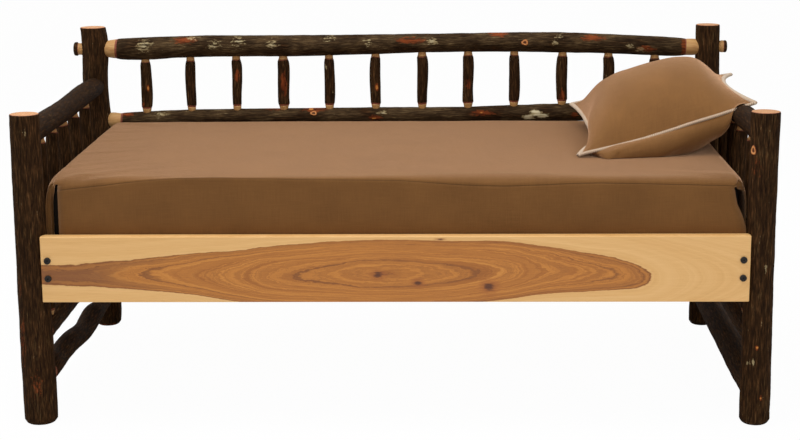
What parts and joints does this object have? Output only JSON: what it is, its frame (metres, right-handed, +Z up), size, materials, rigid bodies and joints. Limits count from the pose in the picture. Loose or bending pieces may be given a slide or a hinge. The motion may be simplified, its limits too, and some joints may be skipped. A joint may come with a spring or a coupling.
{
  "type": "rustic log day bed",
  "caption": "Day bed of unpeeled hickory poles with a spindled back rest and arms, sawn side boards, slatted platform, covered mattress and loose pillow.",
  "frame": {"origin": "on the floor, midway between the four post feet", "axes": "+X to the right of somebody who faces the open side, +Y towards the back rest, +Z up"},
  "size_m": [2.1573, 1.1281, 1.017],
  "materials": {
    "hickory_bark": "ridged dark brown bark under a dull clear coat",
    "hickory_board": "planed, pale sapwood with brown heartwood, satin clear coat",
    "platform_pine": "sawn, bare",
    "black_steel": "black oxide, half matt",
    "zinc_steel": "zinc plated",
    "mattress_ticking": "woven cotton ticking",
    "cover_linen": "plain woven linen, matt",
    "pillow_linen": "plain woven linen, matt, with a cream blanket-stitched edge"
  },
  "bodies": {
    "frame": {"front_left_post": "hickory_bark", "front_right_post": "hickory_bark", "back_left_post": "hickory_bark", "back_right_post": "hickory_bark", "back_top_rail": "hickory_bark", "back_low_rail": "hickory_bark", "left_arm_rail": "hickory_bark", "right_arm_rail": "hickory_bark", "left_mid_rail": "hickory_bark", "right_mid_rail": "hickory_bark", "left_stretcher": "hickory_bark", "right_stretcher": "hickory_bark", "back_spindle_1": "hickory_bark", "back_spindle_2": "hickory_bark", "back_spindle_3": "hickory_bark", "back_spindle_4": "hickory_bark", "back_spindle_5": "hickory_bark", "back_spindle_6": "hickory_bark", "back_spindle_7": "hickory_bark", "back_spindle_8": "hickory_bark", "back_spindle_9": "hickory_bark", "back_spindle_10": "hickory_bark", "back_spindle_11": "hickory_bark", "back_spindle_12": "hickory_bark", "left_arm_spindle_1": "hickory_bark", "left_arm_spindle_2": "hickory_bark", "left_arm_spindle_3": "hickory_bark", "left_arm_spindle_4": "hickory_bark", "left_arm_spindle_5": "hickory_bark", "right_arm_spindle_1": "hickory_bark", "right_arm_spindle_2": "hickory_bark", "right_arm_spindle_3": "hickory_bark", "right_arm_spindle_4": "hickory_bark", "right_arm_spindle_5": "hickory_bark", "left_stub_peg": "hickory_bark", "right_stub_peg": "hickory_bark", "front_board": "hickory_board", "back_board": "hickory_board", "left_cross_rail": "platform_pine", "right_cross_rail": "platform_pine", "front_cleat": "platform_pine", "back_cleat": "platform_pine", "slats": "platform_pine", "bed_bolts": "black_steel", "cross_dowels": "zinc_steel", "lag_screws": "zinc_steel", "cleat_screws": "zinc_steel", "slat_screws": "zinc_steel"},
    "mattress": {"mattress": "mattress_ticking", "mattress_cover": "cover_linen"},
    "pillow": {"pillow": "pillow_linen"}
  },
  "joints": [
    {"name": "mattress_lift", "type": "slide", "parent": "frame", "child": "mattress", "axis": [0, 0, 1], "range_m": [0, 0.4]},
    {"name": "pillow_lift", "type": "slide", "parent": "mattress", "child": "pillow", "axis": [0, 0, 1], "range_m": [0, 0.3]}
  ]
}
